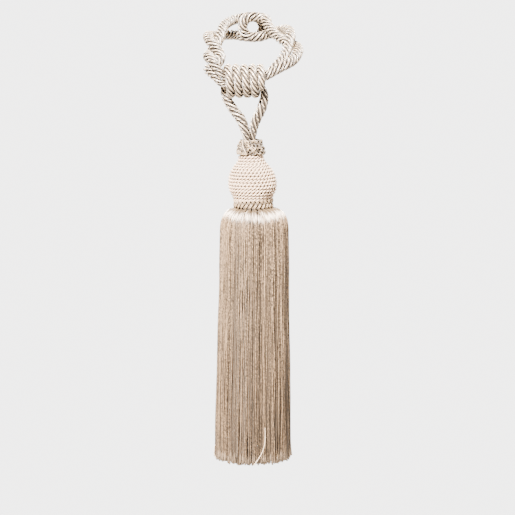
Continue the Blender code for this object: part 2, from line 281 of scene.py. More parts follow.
@dataclass
class Skein:
    """Threads gathered into one mesh, each a tube with its own tone, length and finish."""

    points: list[Array] = field(default_factory=list)
    polygons: list[Array] = field(default_factory=list)
    lies: list[Array] = field(default_factory=list)
    finishes: list[Array] = field(default_factory=list)
    marks: dict[str, list[Array]] = field(default_factory=lambda: {"tone": [], "share": [], "lift": []})
    count: int = 0

    def threads(
        self,
        lines: Array,
        radii: Array,
        sides: int,
        tones: Array | float,
        part: Part = Part.FIRST,
        across: Array | None = None,
        shade_bed: ShadeBed | None = None,
        looped: bool = False,
    ) -> None:
        """Add tubes of one size of section.

        Args:
            lines: Array of thread, point and coordinate.
            radii: Array of thread and point.
            sides: Corners of a section.
            tones: A tone from 0 to 1 for each thread, or one for them all.
            part: The finish of these threads.
            across: A crosswise direction for each point, or None to carry one along.
            shade_bed: What the threads lie on, which tells how much painted crease shade each point gets.
            looped: True where a thread closes on itself and has no cut ends.
        """
        many, long, _ = lines.shape
        across = carried_across(lines) if across is None else across
        side = unit(np.cross(directions(lines), across))
        corner = np.arange(sides)
        angles = (corner / sides * TAU)[:, None]
        ring = across[:, :, None] * np.cos(angles) + side[:, :, None] * np.sin(angles)
        points = lines[:, :, None] + ring * radii[:, :, None, None]
        steps = np.linalg.norm(np.diff(lines, axis=1), axis=2)
        reach = np.concatenate([np.zeros((many, 1)), np.cumsum(steps, axis=1)], axis=1)
        first = self.count + np.arange(many) * (long * sides)
        level = np.arange(long if looped else long - 1)
        ends = reach[:, level, None], reach[:, np.minimum(level + 1, long - 1), None]
        low, high, left = np.broadcast_arrays(*ends, corner / sides)
        right = left + 1.0 / sides
        lie = np.stack([low, left, low, right, high, right, high, left], axis=-1)
        self._face(walls(first, level, (level + 1) % long, sides), lie, part)
        if not looped:
            for cap, at in ((corner[::-1], reach[:, :1]), ((long - 1) * sides + corner, reach[:, -1:])):
                lie = np.stack(np.broadcast_arrays(at, corner / sides), axis=-1)
                self._face(first[:, None] + cap, lie, part)
        share = np.repeat(reach / np.maximum(reach[:, -1:], 1e-9), sides)
        # How free of painted crease shade each point is: 0 where it lies deep between threads.
        lift = 1.0 if shade_bed is None else shade_bed.lift(points)
        self._stand(points, tone=np.repeat(tones, long * sides), share=share, lift=lift)

    def turned(self, profile: Array, centre: Pair, sides: int, part: Part) -> None:
        """Add an open turned surface.

        Args:
            profile: Rows of radius and height, from the top down.
            centre: The axis's X and Y.
            sides: Steps round the axis.
            part: The finish of the surface.
        """
        angles = np.arange(sides) / sides * TAU
        x = centre[0] + profile[:, :1] * np.cos(angles)
        y = centre[1] + profile[:, :1] * np.sin(angles)
        z = np.broadcast_to(profile[:, 1:2], x.shape)
        level = np.arange(len(profile) - 1)
        quads = walls(np.array([self.count]), level + 1, level, sides)
        self._face(quads, np.zeros((*quads.shape, 2)), part)
        # A turned ground stands wholly in the painted crease shade colour.
        self._stand(np.stack([x, y, z], axis=-1), tone=0.5, share=0.5, lift=0.0)

    def _face(self, polygons: Array, lie: Array, part: Part) -> None:
        """Keep polygons of one corner count.

        Args:
            polygons: The polygons, with their corners last.
            lie: Each corner's place along and round its thread.
            part: The polygons' finish.
        """
        self.polygons.append(polygons.reshape(-1, polygons.shape[-1]))
        self.lies.append(lie.reshape(-1, 2))
        self.finishes.append(np.full(len(self.polygons[-1]), part.value))

    def _stand(self, points: Array, **marks: Array | float) -> None:
        """Keep points and what they carry.

        Args:
            points: The points, with their coordinates last.
            marks: The tone, share and unshaded mark (how free of painted crease shade), as one value for each
                point or for them all.
        """
        self.points.append(points.reshape(-1, 3))
        for label, values in marks.items():
            self.marks[label].append(np.broadcast_to(np.ravel(values), points.size // 3))
        self.count += points.size // 3

    def piece(self, name: str, finishes: list["ThreadFinish"]) -> Piece:
        """Make the mesh object.

        Args:
            name: The piece's name.
            finishes: The finish of each material index.

        Returns:
            The new object, linked to the scene.
        """
        corners = np.concatenate([polygon.reshape(-1) for polygon in self.polygons])
        totals = np.concatenate([np.full(len(p), p.shape[1]) for p in self.polygons])
        mesh = bpy.data.meshes.new(name)
        mesh.vertices.add(self.count)
        mesh.vertices.foreach_set("co", (np.concatenate(self.points) * MM).ravel())
        mesh.loops.add(len(corners))
        mesh.loops.foreach_set("vertex_index", corners)
        mesh.polygons.add(len(totals))
        mesh.polygons.foreach_set("loop_start", np.concatenate([[0], np.cumsum(totals)[:-1]]))
        mesh.polygons.foreach_set("material_index", np.concatenate(self.finishes))
        lie = mesh.uv_layers.new(name="lie")
        lie.data.foreach_set("uv", np.concatenate(self.lies).ravel())
        for label, values in self.marks.items():
            attribute = mesh.attributes.new(label, "FLOAT", "POINT")
            attribute.data.foreach_set("value", np.concatenate(values))
        mesh.update(calc_edges=True)
        mesh.shade_smooth()
        for finish in finishes:
            mesh.materials.append(finish.material())
        return shown(name, mesh)


# ---- finishes ----


@dataclass(frozen=True)
class Wiring:
    """A tree of shader nodes, with short ways to add to it."""

    tree: bpy.types.NodeTree

    def feed(self, node: Node, inputs: dict[str | int, object]) -> Node:
        """Wire or set some inputs of a node.

        Args:
            node: The node.
            inputs: A socket to wire or a value to set, by the input's name or place.

        Returns:
            The same node.
        """
        for place, value in inputs.items():
            if isinstance(value, Socket):
                self.tree.links.new(value, node.inputs[place])
            else:
                node.inputs[place].default_value = value
        return node

    def node(self, kind: str, inputs: dict[str | int, object] | None = None) -> Node:
        """Add a node of a kind, with its inputs fed."""
        return self.feed(self.tree.nodes.new(f"ShaderNode{kind}"), inputs or {})

    def maths(self, operation: str, *values: Socket | float) -> Socket:
        """Add a Math node.

        Args:
            operation: What it does.
            values: The sockets or numbers that it works on.

        Returns:
            Its result.
        """
        node = self.node("Math", dict(enumerate(values)))
        node.operation = operation
        return node.outputs[0]

    def mark(self, label: str) -> Socket:
        """Read what the mesh's points carry.

        Args:
            label: The attribute's name.

        Returns:
            Its value.
        """
        node = self.node("Attribute")
        node.attribute_name = label
        return node.outputs["Fac"]

    def ramp(self, value: Socket, low: Socket | float, high: Socket | float, goal: float = 1.0) -> Socket:
        """Add a smooth ramp that starts from 0.

        Args:
            value: What the ramp follows.
            low: The value at its foot.
            high: The value at its top.
            goal: How high it goes.

        Returns:
            The height of the ramp.
        """
        node = self.node("MapRange")
        node.interpolation_type = "SMOOTHSTEP"
        self.feed(node, {"Value": value, "From Min": low, "From Max": high, "To Max": goal})
        return node.outputs["Result"]

    def mixed(self, share: Socket, under: Socket, over: Socket | tuple, blend: str = "MIX") -> Socket:
        """Lay one colour over another.

        Args:
            share: How much of the upper colour there is.
            under: The lower colour.
            over: The upper colour.
            blend: How they are laid together.

        Returns:
            The mixed colour.
        """
        node = self.node("Mix")
        node.data_type = "RGBA"
        node.blend_type = blend
        return self.feed(node, {"Factor": share, "A": under, "B": over}).outputs["Result"]

    def noise(self, place: list[Socket], detail: float) -> Socket:
        """Return soft noise, read at a place of up to three coordinates."""
        join = self.node("CombineXYZ", dict(enumerate(place))).outputs[0]
        return self.node("TexNoise", {"Vector": join, "Scale": 1.0, "Detail": detail}).outputs["Fac"]

    def seen_pale(self, end: str, lit: Node, kind: str, pale: Colour, strength: float) -> None:
        """Let the camera see a pale tone where all other light meets a shader.

        Args:
            end: The name of the tree's last node.
            lit: The shader that other light meets.
            kind: The kind of shader that gives the pale tone.
            pale: The pale tone.
            strength: How bright it is.
        """
        tone = self.node(kind, {"Color": (*pale, 1.0), "Strength": strength})
        seen = self.node("LightPath").outputs["Is Camera Ray"]
        mix = self.node("MixShader", {0: seen, 1: lit.outputs[0], 2: tone.outputs[0]})
        self.feed(self.tree.nodes[end], {"Surface": mix.outputs[0]})


@dataclass(frozen=True)
class FilamentLie:
    """The shared effect of filaments that lie along a thread and turn round it.

    Streaks run along the thread, and crimps cross it. Each thread's tone shifts both. The colour also carries
    painted shade in the creases, where a point lies low.
    """

    name: str = "filament_lie"
    inputs: tuple[str, ...] = (
        "Lit", "Deep", "Sunk", "Buried", "Clear", "Streaks", "Grain", "Twist", "Contrast", "Spread",
        "Smoothness", "Gloss",
    )
    outputs: tuple[str, ...] = ("Colour", "Roughness", "Gloss", "Height")
    colours: tuple[str, ...] = ("Lit", "Deep", "Sunk", "Colour")
    streak_shift: float = 61.0
    streak_detail: float = 2.0
    crimp_rate: float = 0.56
    crimp_shift: float = 997.0
    crimp_detail: float = 3.0
    streak_roughness: float = 0.25
    sunk_roughness: float = 0.2

    def group(self) -> bpy.types.NodeTree:
        """Return the node group, built once.

        Returns:
            A group that gives the thread's colour, roughness, gloss and height.
        """
        if self.name in bpy.data.node_groups:
            return bpy.data.node_groups[self.name]
        group = bpy.data.node_groups.new(self.name, "ShaderNodeTree")
        for way, labels in (("INPUT", self.inputs), ("OUTPUT", self.outputs)):
            for label in labels:
                kind = "NodeSocketColor" if label in self.colours else "NodeSocketFloat"
                group.interface.new_socket(name=label, in_out=way, socket_type=kind)
        wires = Wiring(group)
        maths = wires.maths
        given = group.nodes.new("NodeGroupInput").outputs
        lie = wires.node("UVMap")
        lie.uv_map = "lie"
        lie = wires.node("SeparateXYZ", {0: lie.outputs["UV"]}).outputs
        tone = wires.mark("tone")
        turn = maths("MULTIPLY", lie["Y"], TAU)
        turn = maths("ADD", turn, maths("MULTIPLY", lie["X"], given["Twist"]))
        place = [maths("MULTIPLY", maths(wave, turn), given["Streaks"]) for wave in ("COSINE", "SINE")]
        shift = maths("MULTIPLY", tone, self.streak_shift)
        place.append(maths("ADD", maths("MULTIPLY", lie["X"], given["Grain"]), shift))
        streak = wires.noise(place, self.streak_detail)
        place = [maths("MULTIPLY", lie["X"], self.crimp_rate), maths("MULTIPLY", tone, self.crimp_shift)]
        crimp = wires.noise(place, self.crimp_detail)
        own, fine, wide = (
            maths("MULTIPLY", maths("SUBTRACT", value, 0.5), given[weight])
            for value, weight in ((tone, "Spread"), (streak, "Contrast"), (crimp, "Contrast"))
        )
        share = maths("ADD", maths("ADD", maths("ADD", own, fine), wide), 0.5)
        # rise is how free of painted crease shade a point is; where it is low, the crease shade colour stands
        # for the shade between threads.
        rise = wires.ramp(wires.mark("lift"), given["Buried"], given["Clear"])
        rough = maths("MULTIPLY", maths("SUBTRACT", streak, 0.5), self.streak_roughness)
        dull = maths("MULTIPLY", maths("SUBTRACT", 1.0, rise), self.sunk_roughness)
        wires.feed(group.nodes.new("NodeGroupOutput"), {
            "Colour": wires.mixed(rise, given["Sunk"], wires.mixed(share, given["Deep"], given["Lit"])),
            "Roughness": maths("ADD", given["Smoothness"], maths("ADD", rough, dull)),
            "Gloss": maths("MULTIPLY", given["Gloss"], rise),
            "Height": streak,
        })
        return group


@dataclass(frozen=True)
class Stretch:
    """A stretch of a thread with a colour laid over it, by its share of the thread's length: a painted
    highlight, a painted shade or lighter tips.

    The colour comes in from start to full, and goes out again from ebb to end where they are set.
    A shade is multiplied onto the thread's colour instead of laid over it.
    """

    start: float
    full: float
    goal: Colour
    strength: float
    ebb: float = 0.0
    end: float = 0.0
    shade: bool = False

    def over(self, wires: Wiring, share: Socket, colour: Socket) -> Socket:
        """Lay the stretch's colour over a colour.

        Args:
            wires: The material's nodes.
            share: The place along the thread.
            colour: The colour under it.

        Returns:
            The mixed colour.
        """
        weight = wires.ramp(share, self.start, self.full, self.strength)
        if self.end:
            weight = wires.maths("MULTIPLY", weight, wires.ramp(share, self.end, self.ebb))
        return wires.mixed(weight, colour, (*self.goal, 1.0), "MULTIPLY" if self.shade else "MIX")


@dataclass(frozen=True)
class ThreadFinish:
    """Viscose thread with filaments that lie along it and a tone of its own for each thread.

    Slip moves each thread's stretches along it by its tone, so that they don't stand in a line.
    """

    name: str
    lit: Colour
    deep: Colour
    # The third colour: painted shade in the creases between threads.
    crease_shade: Colour = (0.08, 0.048, 0.026)
    buried: float = 0.1
    clear: float = 0.75
    roughness: float = 0.4
    sheen: float = 0.05
    sheen_roughness: float = 0.4
    sheen_tint: Colour = (1.0, 0.96, 0.9)
    specular: float = 0.5
    index: float = 1.5
    gloss: float = 0.0
    gloss_roughness: float = 0.28
    streaks: float = 2.2
    grain: float = 0.25
    twist: float = 0.6
    contrast: float = 0.7
    spread: float = 0.5
    relief: float = 0.00012
    stretches: tuple[Stretch, ...] = ()
    slip: float = 0.032

    def material(self) -> bpy.types.Material:
        """Return the material, built once.

        Returns:
            The material of this finish.
        """
        if self.name in bpy.data.materials:
            return bpy.data.materials[self.name]
        material = bpy.data.materials.new(self.name)
        material.use_nodes = True
        wires = Wiring(material.node_tree)
        lie = wires.node("Group")
        lie.node_tree = FilamentLie().group()
        wires.feed(lie, {
            "Lit": (*self.lit, 1.0), "Deep": (*self.deep, 1.0), "Sunk": (*self.crease_shade, 1.0),
            "Buried": self.buried, "Clear": self.clear,
            "Streaks": self.streaks, "Grain": self.grain, "Twist": self.twist,
            "Contrast": self.contrast, "Spread": self.spread,
            "Smoothness": self.roughness, "Gloss": self.gloss,
        })
        colour = lie.outputs["Colour"]
        if self.stretches:
            place = wires.maths("MULTIPLY_ADD", wires.mark("tone"), self.slip, wires.mark("share"))
            for stretch in self.stretches:
                colour = stretch.over(wires, place, colour)
        bump = wires.node("Bump", {"Distance": self.relief, "Height": lie.outputs["Height"]})
        wires.feed(material.node_tree.nodes["Principled BSDF"], {
            "Base Color": colour,
            "Roughness": lie.outputs["Roughness"],
            "Coat Weight": lie.outputs["Gloss"],
            "Normal": bump.outputs["Normal"],
            "Coat Roughness": self.gloss_roughness,
            "Specular IOR Level": self.specular,
            "IOR": self.index,
            "Sheen Weight": self.sheen,
            "Sheen Roughness": self.sheen_roughness,
            "Sheen Tint": (*self.sheen_tint, 1.0),
        })
        return material


def painted_shade_finish(name: str, colour: Colour, roughness: float) -> ThreadFinish:
    """Return a dark finish for a ground that shows only in the gaps between threads, as painted shade."""
    return ThreadFinish(name, colour, colour, colour, roughness=roughness, sheen=0.0)


# Dark cores and grounds that stand for the shade in the gaps between threads: painted shade.
CORE_SHADE_TONE: Colour = (0.024, 0.0155, 0.0085)
ROPE_CORE_SHADE = painted_shade_finish("rope_core_shade", CORE_SHADE_TONE, 0.8)
HEAD_CORE_SHADE = painted_shade_finish("head_core_shade", CORE_SHADE_TONE, 0.8)
FRINGE_GROUND_SHADE = painted_shade_finish("fringe_ground_shade", CORE_SHADE_TONE, 0.8)
GIMP_GROUND_SHADE = painted_shade_finish("gimp_ground_shade", (0.016, 0.0105, 0.006), 0.9)
# Each finish's third colour is painted shade for its creases; buried and clear set where it is full and where
# it is gone.
SATIN_STRAND = ThreadFinish(
    "satin_strand", (0.97, 0.79, 0.545), (0.76, 0.575, 0.36), (0.032, 0.0205, 0.0105),
    buried=0.46, clear=1.0, roughness=0.27, specular=1.0, index=1.85, gloss=0.7, streaks=3.4,
    twist=0.25, relief=0.0001, contrast=0.5, spread=0.4,
)
PLIED_STRAND = ThreadFinish(
    "plied_strand", (0.94, 0.755, 0.495), (0.58, 0.42, 0.245), (0.032, 0.0205, 0.0105),
    buried=0.38, clear=0.96, roughness=0.30, specular=1.0, index=1.7, relief=0.0001, contrast=0.5,
    twist=1.6, spread=0.4,
)
HEAD_CORD = ThreadFinish(
    "head_cord", (0.70, 0.535, 0.395), (0.53, 0.385, 0.265), (0.050, 0.032, 0.018),
    buried=0.22, clear=0.8, roughness=0.38, twist=1.2, spread=0.3,
)
BRAID_THREAD = ThreadFinish(
    "braid_thread", (0.42, 0.305, 0.185), (0.30, 0.205, 0.115), (0.085, 0.056, 0.030),
    roughness=0.42, specular=0.8, twist=1.8, spread=0.9,
)
GIMP_THREAD = ThreadFinish(
    "gimp_thread", (0.39, 0.285, 0.162), (0.24, 0.165, 0.088), (0.042, 0.028, 0.014),
    buried=0.28, clear=0.95, roughness=0.38, specular=1.0, twist=1.8, spread=0.9,
)
# Painted highlight where the fringe's threads turn over the shoulder.
FRINGE_CROWN_HIGHLIGHT = Stretch(0.044, 0.060, (0.98, 0.86, 0.75), 0.76, 0.062, 0.086)
# Painted shade at the roots, under the collar.
FRINGE_ROOT_SHADE = Stretch(0.078, 0.046, (0.10, 0.068, 0.036), 0.72)
# Painted shade that grows darker towards the hem.
FRINGE_HEM_SHADE = Stretch(0.20, 1.0, (0.52, 0.46, 0.37), 0.69, shade=True)
FRINGE_TIPS = Stretch(0.985, 1.015, (0.52, 0.39, 0.27), 0.42)
FRINGE_THREAD = ThreadFinish(
    "fringe_thread", (0.305, 0.210, 0.127), (0.032, 0.0215, 0.0120), (0.032, 0.0215, 0.012),
    roughness=0.34, buried=0.32, clear=0.98, specular=0.45, gloss=0.45, streaks=0.7, twist=1.6,
    grain=0.55, contrast=3.2, spread=1.0,
    stretches=(FRINGE_CROWN_HIGHLIGHT, FRINGE_ROOT_SHADE, FRINGE_HEM_SHADE, FRINGE_TIPS),
)
STRAY_THREAD = ThreadFinish("stray_thread", (0.72, 0.58, 0.43), (0.62, 0.48, 0.34), roughness=0.3)


# ---- ropes ----


@dataclass
class LaidRope:
    """A rope of smooth satin strands and two-ply strands, in turn, laid round a core.

    Shares, strand offset, ply offset, shade_crease and shade_crest are parts of the rope's radius. The
    painted shade between the strands covers less where the rope is pressed flat.
    """

    name: str
    node: str
    route: Array
    hang: Hang
    seed: int
    lay: Lay = Lay.S
    strands: int = 6
    step: float = 0.66
    strand_offset: float = 0.76
    satin_share: float = 0.22
    satin_skip: int = 2
    plied_share: float = 0.142
    plied_offset: float = 0.106
    plied_sides: int = 6
    ply_pitch: float = 7.2
    ply_tone: float = 0.1
    core_share: float = 0.62
    core_skip: int = 4
    sides: int = 8
    tones: Pair = (0.25, 0.75)
    shade_crease: float = 0.885
    shade_crease_pressed: float = 1.38
    shade_crest: float = 0.99
    path_step: float = 3.0

    def build(self) -> Piece:
        """Returns:
            The rope's object.
        """
        rows = evenly(self.route, self.step)
        centre = rows[None, :, :3]
        radius = rows[:, RADIUS]
        press = rows[None, :, PRESS]
        reach = reach_along(rows)
        spun = np.concatenate([[0.0], np.cumsum(np.diff(reach) * 2.0 / (rows[1:, PITCH] + rows[:-1, PITCH]))])
        chance = np.random.default_rng(self.seed)
        skein = Skein()
        # Painted crease shade covers each strand where it lies as near the rope's line as lower, and is gone at
        # upper.
        lower = radius * (self.shade_crease - self.shade_crease_pressed * (1.0 - press[0]))
        upper = self.shade_crest * radius
        shade_bed = ShadeBed(centre, lower, upper)
        skip = self.satin_skip
        satin_shade_bed = ShadeBed(centre[:, ::skip], lower[::skip], upper[::skip])
        for strand in range(self.strands):
            turns = TAU * (strand / self.strands + self.lay.value * spun)
            line = wound_round(centre, self.strand_offset * radius, turns, press)
            tone = chance.uniform(*self.tones, 1)
            if strand % 2 == 0:
                radii = (self.satin_share * radius)[None, ::skip]
                skein.threads(line[:, ::skip], radii, self.sides, tone, shade_bed=satin_shade_bed)
                continue
            for ply in range(2):
                turn = ply * math.pi + self.lay.value * TAU * reach / self.ply_pitch
                wound = wound_round(line, self.plied_offset * radius, turn)
                radii = (self.plied_share * radius)[None]
                skein.threads(wound, radii, self.plied_sides, tone + self.ply_tone * ply, Part.SECOND, shade_bed=shade_bed)
        # A dark core, which shows in the gaps between strands as painted shade.
        skip = self.core_skip
        radii = (self.core_share * radius)[None, ::skip]
        skein.threads(centre[:, ::skip], radii, self.sides, 0.5, Part.CORE)
        piece = skein.piece(self.name, [SATIN_STRAND, PLIED_STRAND, ROPE_CORE_SHADE])
        path = evenly(self.route, self.path_step)[:, :3] * MM
        length = float(reach_along(path)[-1])
        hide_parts(self.node)
        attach(piece, ROOT_BODY)
        2.0 * float(np.max(self.route[:, RADIUS])) * MM
        return piece


@dataclass
class EmbraceRopes:
    """The two doubled ropes that hold the curtain, from the knot to their bights on the hook.

    Each stop of a pair is its centre's x, y and z, its turn in degrees, half the distance between
    the two ropes, and the rope's radius.
    """

    left: Stops = (
        (-8.4, -125.0, -48.0, 0, 3.45, 3.15), (-21.0, -125.0, -48.0, 0, 3.45, 3.2),
        (-27.2, -125.0, -47.0, -8, 3.45, 3.2), (-31.6, -123.2, -42.0, -12, 4.1, 3.85),
        (-36.3, -118.4, -36.6, -4, 5.0, 4.7), (-39.8, -109.5, -31.9, 0, 5.3, 5.0),
        (-35.0, -95.5, -27.6, -85, 5.35, 5.0), (-38.6, -80.0, -20.3, -165, 5.3, 5.0),
        (-38.0, -61.0, -12.3, -225, 5.3, 5.0), (-31.6, -35.0, -4.4, -315, 5.3, 5.0),
        (-20.0, -13.5, -0.6, -357, 6.8, 5.0), (-9.0, -8.6, 0.0, -360, 9.0, 5.0),
        (0.0, -8.2, 0.0, -360, 9.8, 5.0),
    )
    right: Stops = (
        (-7.9, -125.0, -46.4, 90, 3.2, 3.0), (7.0, -125.0, -46.4, 90, 3.25, 3.0),
        (14.2, -124.0, -42.6, 84, 4.2, 3.9), (23.6, -119.0, -35.6, 84, 5.1, 4.8),
        (32.2, -108.0, -29.0, 98, 5.2, 5.0), (37.0, -93.0, -21.0, 110, 5.2, 5.0),
        (37.6, -76.0, -13.2, 148, 5.2, 5.0), (29.6, -54.0, -6.5, 218, 5.25, 5.0),
        (20.0, -33.0, -1.8, 290, 5.4, 5.0), (14.0, -22.0, 0.0, 345, 7.2, 5.0),
        (7.0, -19.5, 0.0, 360, 9.2, 5.0), (0.0, -19.4, 0.0, 360, 9.8, 5.0),
    )
    bight_steps: int = 12
    pitch: float = 31.0
    seeds: tuple[int, int] = (3, 5)

    def doubled(self, stops: Stops) -> Array:
        """Lay one rope out along the stops, round the bight at the last of them, and back.

        Args:
            stops: The stops of a pair.

        Returns:
            Rows of x, y, z, radius, press and length of lay.
        """
        dense = smooth_rows(stops)
        centre, turn, apart, radius = dense[:, :3], np.radians(dense[:, 3:4]), dense[:, 4:5], dense[:, 5]
        along = directions(centre[None])[0]
        up = unit(np.array([0.0, 0.0, 1.0]) - along * along[:, 2:3])
        away = (up * np.cos(turn) + np.cross(along, up) * np.sin(turn)) * apart
        angles = half_circle(self.bight_steps)
        bight = centre[-1] + away[-1] * np.cos(angles) + along[-1] * apart[-1] * np.sin(angles)
        places = np.vstack([centre + away, bight, (centre - away)[::-1]])
        radius = np.concatenate([radius, np.full(len(bight), radius[-1]), radius[::-1]])
        return np.column_stack([places, radius, np.ones(len(places)), np.full(len(places), self.pitch)])

    def build(self) -> list[Piece]:
        """Return the two pieces, built and dressed."""
        return [
            LaidRope(f"embrace_rope_{side}", f"embrace_{side}", self.doubled(stops), Hang.LOOSE, seed).build()
            for side, stops, seed in zip(("left", "right"), (self.left, self.right), self.seeds)
        ]


@dataclass
class HangingRope:
    """The rope that carries the tassel: a V of two legs, and five turns wound as the knot.

    Each place of a leg is x, y, z, the rope's radius and how far it is pressed along X. The
    knot's start, tuck, end and step are in degrees.
    """

    right_leg: Stops = (
        (-7.9, -125.0, -51.95, 2.9, 1.0), (5.5, -125.0, -51.95, 2.9, 1.0),
        (9.6, -124.8, -55.2, 3.1, 1.0), (10.9, -124.4, -61.0, 3.9, 1.0),
        (10.2, -124.0, -67.0, 4.5, 1.0), (7.8, -123.4, -74.5, 4.8, 1.0), (4.0, -122.2, -82.0, 4.8, 1.0),
        (1.2, -121.4, -90.0, 4.4, 1.0), (-0.3, -121.6, -99.5, 3.8, 1.0),
        (-0.5, -121.9, -106.5, 3.6, 1.0),
    )
    left_leg: Stops = (
        (-5.1, -128.1, -106.5, 3.6, 1.0), (-5.4, -128.4, -99.5, 3.8, 1.0),
        (-7.6, -128.4, -90.0, 4.6, 1.0), (-11.2, -126.8, -81.8, 4.9, 1.0),
        (-17.0, -123.2, -74.6, 4.8, 1.0), (-22.6, -117.8, -66.0, 4.6, 1.0),
        (-25.4, -113.9, -58.5, 4.3, 0.95),
    )
    leg_lay: float = 37.0
    neck_steps: int = 6
    knot_axis: Pair = (-125.0, -48.0)
    knot_turns: int = 5
    knot_radius: float = 11.6
    knot_first_top: float = -22.2
    knot_pitch: float = 7.36
    knot_front_share: float = 0.40
    knot_rope_radius: float = 4.25
    knot_press: float = 0.91
    knot_lay: float = 30.0
    knot_start: float = -100.0
    knot_tuck: float = 60.0
    knot_end: float = 130.0
    knot_step: float = 10.0
    tail_back: float = 0.8
    tail_in: float = 0.9
    tail_taper: float = 0.4
    seed: int = 11

    def knot(self) -> Array:
        """Wind the knot.

        Returns:
            The rows of the winding, from the left leg to the tucked tail.
        """
        last_top = 360.0 * (self.knot_turns - 1)
        angles = np.arange(self.knot_start, last_top + self.knot_end + 1.0, self.knot_step)
        turn, part = np.divmod(angles, 360.0)
        front = np.minimum(part, 180.0) / 180.0 * self.knot_front_share
        rear = np.maximum(part - 180.0, 0.0) / 180.0 * (1.0 - self.knot_front_share)
        span = self.knot_end - self.knot_tuck
        tuck = np.maximum(0.0, (angles - last_top - self.knot_tuck) / span)
        x = self.knot_first_top + self.knot_pitch * (turn + front + rear) - self.tail_back * tuck
        reach = self.knot_radius - self.tail_in * tuck
        way = np.radians(angles)
        y = self.knot_axis[0] - reach * np.sin(way)
        z = self.knot_axis[1] + reach * np.cos(way)
        radius = self.knot_rope_radius * (1.0 - self.tail_taper * tuck**2)
        press = np.full(len(x), self.knot_press)
        return np.column_stack([x, y, z, radius, press, np.full(len(x), self.knot_lay)])

    def leg(self, places: Stops) -> Array:
        """Return a leg's places as rows, with the leg's own length of lay."""
        return np.column_stack([np.array(places), np.full(len(places), self.leg_lay)])

    def route(self) -> Array:
        """Lay out the whole rope.

        Returns:
            Its rows, from inside the knot to the tucked tail.
        """
        right = smooth_rows(self.leg(self.right_leg))
        low = right[-1]
        high = self.leg(self.left_leg)[0]
        centre = (low[:3] + high[:3]) / 2
        arm = low[:3] - centre
        angles = half_circle(self.neck_steps)
        down = np.array([0.0, 0.0, -float(np.linalg.norm(arm))])
        bend = centre + arm * np.cos(angles) + down * np.sin(angles)
        bend = np.column_stack([bend, np.tile(low[3:], (len(bend), 1))])
        knot = self.knot()
        left = smooth_rows(np.vstack([self.leg(self.left_leg), knot[:1]]))
        return np.vstack([right, bend, left, knot[1:]])

    def build(self) -> list[Piece]:
        """Return the one piece, built and dressed."""
        rope = LaidRope("hanging_rope_and_knot", "hanging_rope", self.route(), Hang.TAUT, self.seed)
        return [rope.build()]


# ---- tassel ----


